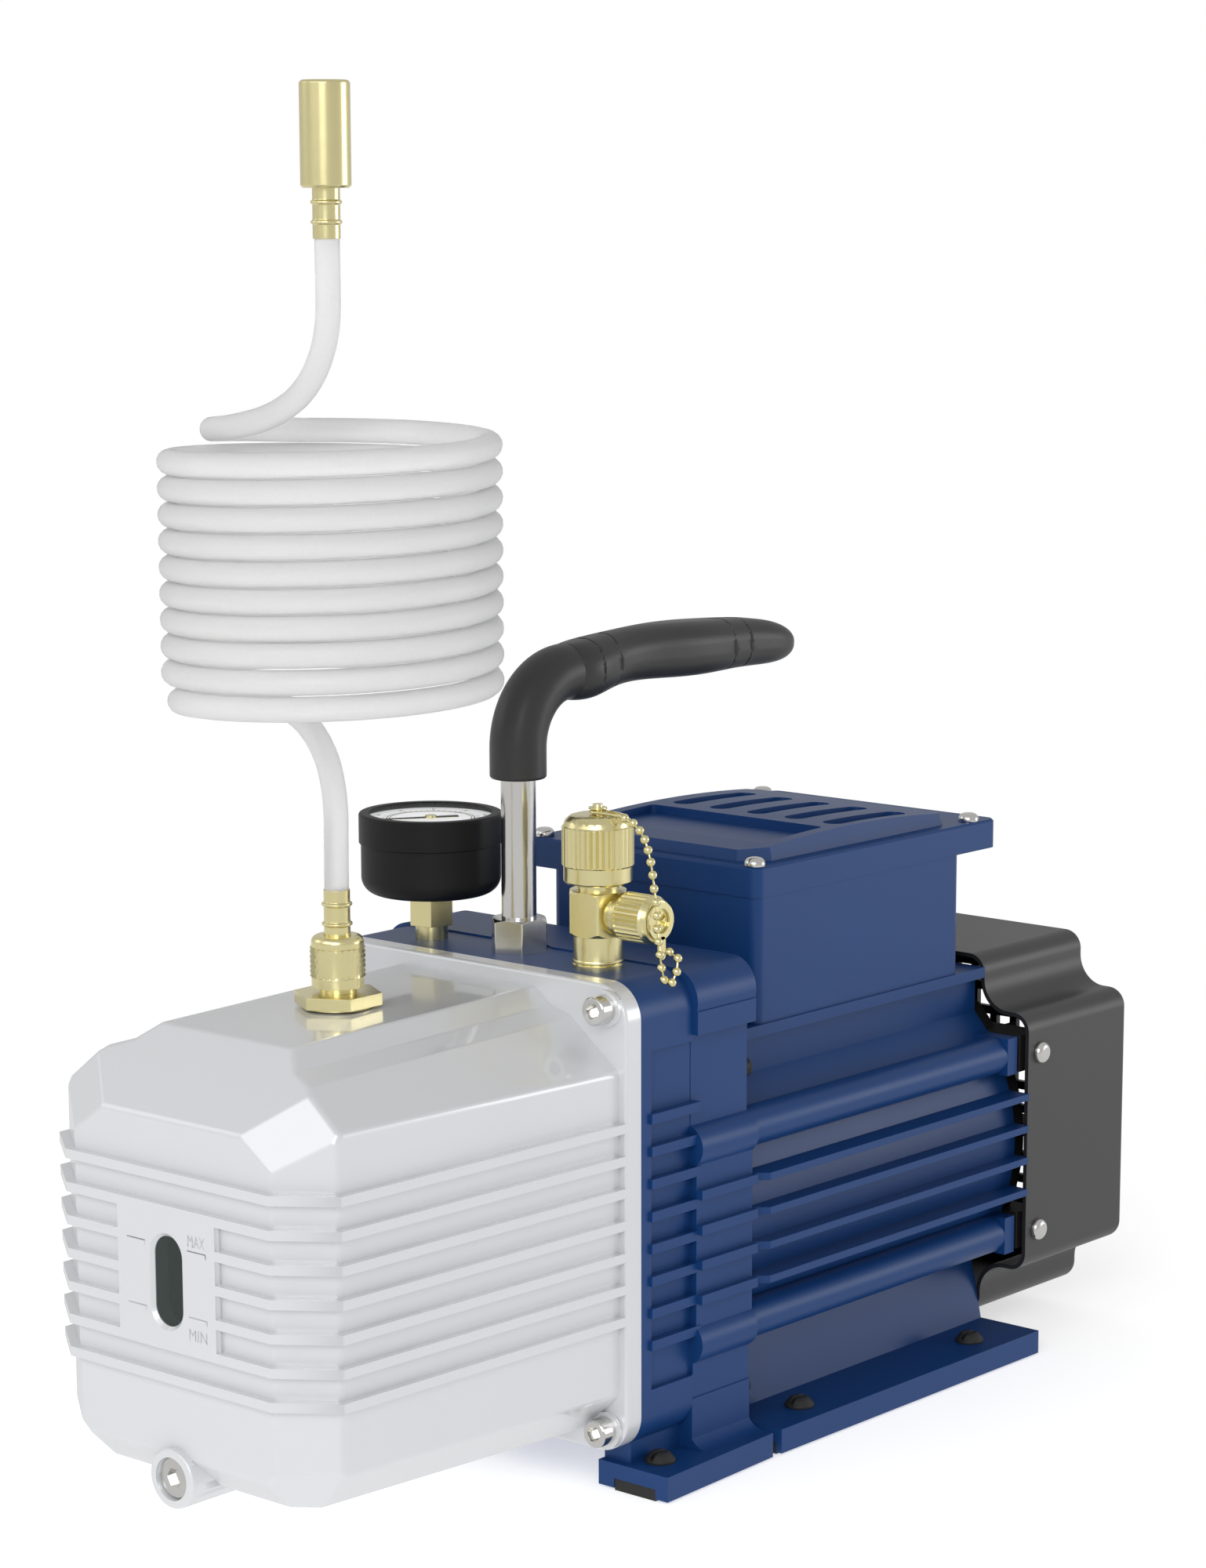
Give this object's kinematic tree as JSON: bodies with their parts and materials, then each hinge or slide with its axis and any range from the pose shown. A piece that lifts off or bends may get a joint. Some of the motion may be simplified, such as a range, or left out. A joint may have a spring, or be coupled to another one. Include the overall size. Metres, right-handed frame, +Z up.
{
  "type": "rotary vane vacuum pump",
  "caption": "Oil sealed rotary vane vacuum pump: ribbed oil casing, bracket with inlet tee, gauge and carry handle, and a finned motor with fan cover.",
  "frame": {"origin": "on the ground, under the centre of the machine's box without the hose", "axes": "+Z up, +Y along the shaft from the oil casing to the fan, +X toward the side with the capped branch of the inlet tee"},
  "size_m": [0.1672, 0.4314, 0.4662],
  "materials": {
    "casting": "satin",
    "blue_paint": "satin",
    "dark_plastic": "satin",
    "grip_plastic": "satin",
    "black_rubber": "matte",
    "brass": "polished",
    "steel": "brushed",
    "black_steel": "satin",
    "cast_iron": "machined",
    "aluminium": "machined",
    "clear": "clear",
    "hose": "smooth",
    "white_plate": "smooth",
    "red_plastic": "smooth"
  },
  "bodies": {
    "machine": {"oil_casing": "casting", "casing_gasket": "black_rubber", "casing_screws": "steel", "sight_glass": "clear", "sight_glass_gasket": "black_rubber", "exhaust_port_nut": "brass", "hose_barb": "brass", "hose_lower": "hose", "hose_coil": "hose", "hose_upper": "hose", "hose_end_fitting": "brass", "pump_bracket": "blue_paint", "bracket_screws": "black_steel", "foot_pads": "black_rubber", "foot_plugs": "black_rubber", "motor_housing": "blue_paint", "stator": "steel", "front_end_shield": "aluminium", "rear_end_shield": "dark_plastic", "bearing_outer_races": "steel", "fan_cover": "dark_plastic", "fan_grille": "dark_plastic", "fan_cover_screws": "steel", "terminal_box": "blue_paint", "lid_gasket": "black_rubber", "terminal_box_lid": "blue_paint", "lid_screws": "steel", "power_inlet": "dark_plastic", "switch_frame": "dark_plastic", "box_electrics": "aluminium", "handle_rod": "steel", "handle_grip": "grip_plastic", "handle_nut": "steel", "gauge_stem": "brass", "gauge_case": "black_steel", "gauge_bezel": "black_steel", "gauge_dial": "white_plate", "gauge_window": "clear", "inlet_tee": "brass", "pump_stages": "cast_iron", "pump_end_cover": "cast_iron", "through_bolts": "steel", "shaft_seal": "black_rubber"},
    "shaft": {"motor_shaft": "steel", "motor_rotor": "aluminium", "bearing_inner_races": "steel", "cooling_fan": "dark_plastic", "pump_rotor": "steel", "pump_vanes": "dark_plastic", "shaft_coupling": "aluminium"},
    "needle": {"gauge_needle": "black_steel"},
    "rocker": {"switch_rocker": "red_plastic"},
    "drain_seal": {"drain_plug_seal": "black_rubber"},
    "drain_plug": {"drain_plug": "steel"},
    "union_washer": {"union_washer": "white_plate"},
    "union_nut": {"knurled_nut": "brass"},
    "inlet_chain": {"cap_chain_upper": "brass"},
    "inlet_cap": {"inlet_cap": "brass"},
    "side_chain": {"cap_chain_lower": "brass"},
    "side_cap": {"side_cap": "brass"}
  },
  "joints": [
    {"name": "shaft_spin", "type": "hinge", "parent": "machine", "child": "shaft", "pos_m": [0, 0, 0.0805], "axis": [0, 1, 0], "continuous": true},
    {"name": "needle_turn", "type": "hinge", "parent": "machine", "child": "needle", "pos_m": [-0.0385, -0.05275, 0.218], "axis": [0, 0, 1], "range_deg": [0, 240]},
    {"name": "rocker_tilt", "type": "hinge", "parent": "machine", "child": "rocker", "pos_m": [-0.0395, 0.09225, 0.168], "axis": [0, 0, 1], "range_deg": [0, 16]},
    {"name": "drain_slide", "type": "slide", "parent": "machine", "child": "drain_seal", "axis": [0, -1, 0], "range_m": [0, 0.009]},
    {"name": "drain_turn", "type": "hinge", "parent": "drain_seal", "child": "drain_plug", "pos_m": [0, -0.20675, 0.0287], "axis": [0, -1, 0], "range_deg": [0, 2160.5]},
    {"name": "union_slide", "type": "slide", "parent": "machine", "child": "union_washer", "axis": [0, 0, 1], "range_m": [0, 0.0026]},
    {"name": "union_turn", "type": "hinge", "parent": "union_washer", "child": "union_nut", "pos_m": [0, -0.13755, 0.185], "axis": [0, 0, 1], "range_deg": [0, 624.5]},
    {"name": "inlet_cap_slide", "type": "slide", "parent": "machine", "child": "inlet_chain", "axis": [0, 0, 1], "range_m": [0, 0.008]},
    {"name": "inlet_cap_turn", "type": "hinge", "parent": "inlet_chain", "child": "inlet_cap", "pos_m": [0.0395, -0.05375, 0.215], "axis": [0, 0, 1], "range_deg": [0, 1800.5]},
    {"name": "side_cap_slide", "type": "slide", "parent": "machine", "child": "side_chain", "axis": [1, 0, 0], "range_m": [0, 0.006]},
    {"name": "side_cap_turn", "type": "hinge", "parent": "side_chain", "child": "side_cap", "pos_m": [0.058, -0.05375, 0.1942], "axis": [1, 0, 0], "range_deg": [0, 1701.29]}
  ],
  "couplings": [
    {"joint": "drain_turn", "follows": "drain_slide", "rad_per_m": 4188.8},
    {"joint": "union_turn", "follows": "union_slide", "rad_per_m": 4188.8},
    {"joint": "inlet_cap_turn", "follows": "inlet_cap_slide", "rad_per_m": 3927},
    {"joint": "side_cap_turn", "follows": "side_cap_slide", "rad_per_m": 4947.4}
  ]
}
